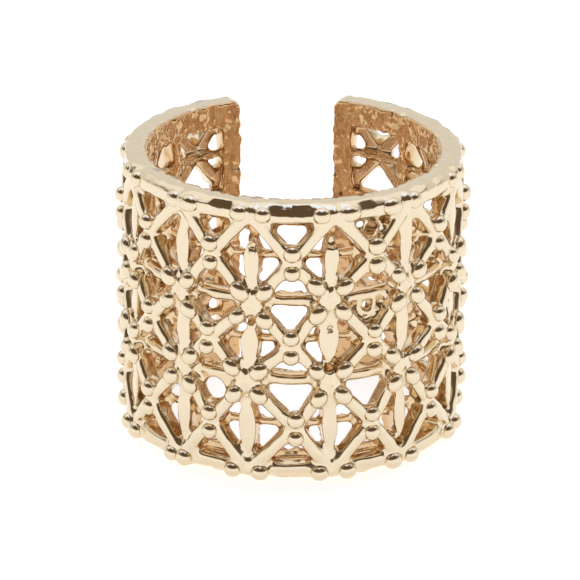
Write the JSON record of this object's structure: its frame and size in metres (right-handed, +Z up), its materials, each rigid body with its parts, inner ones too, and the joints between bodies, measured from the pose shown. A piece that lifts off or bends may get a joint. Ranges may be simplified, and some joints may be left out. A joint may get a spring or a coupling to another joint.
{
  "type": "open cuff ring",
  "caption": "Open cuff ring, cast whole: a wide pierced band of crossed straps, leaves and beads between plain rims, with a gap at the back for adjusting.",
  "frame": {"origin": "on the axis of the finger hole, in the plane that the lower rim stands on", "axes": "+Z up along the finger hole; -Y is the front; the gap faces +Y, turned 3 degrees towards -X; +X is to the right seen from the front"},
  "size_m": [0.0216, 0.0207, 0.0174],
  "materials": {
    "gold_plate": "polished champagne rose gold plating over cast brass"
  },
  "bodies": {
    "root": {"ring_band": "gold_plate"}
  },
  "joints": []
}
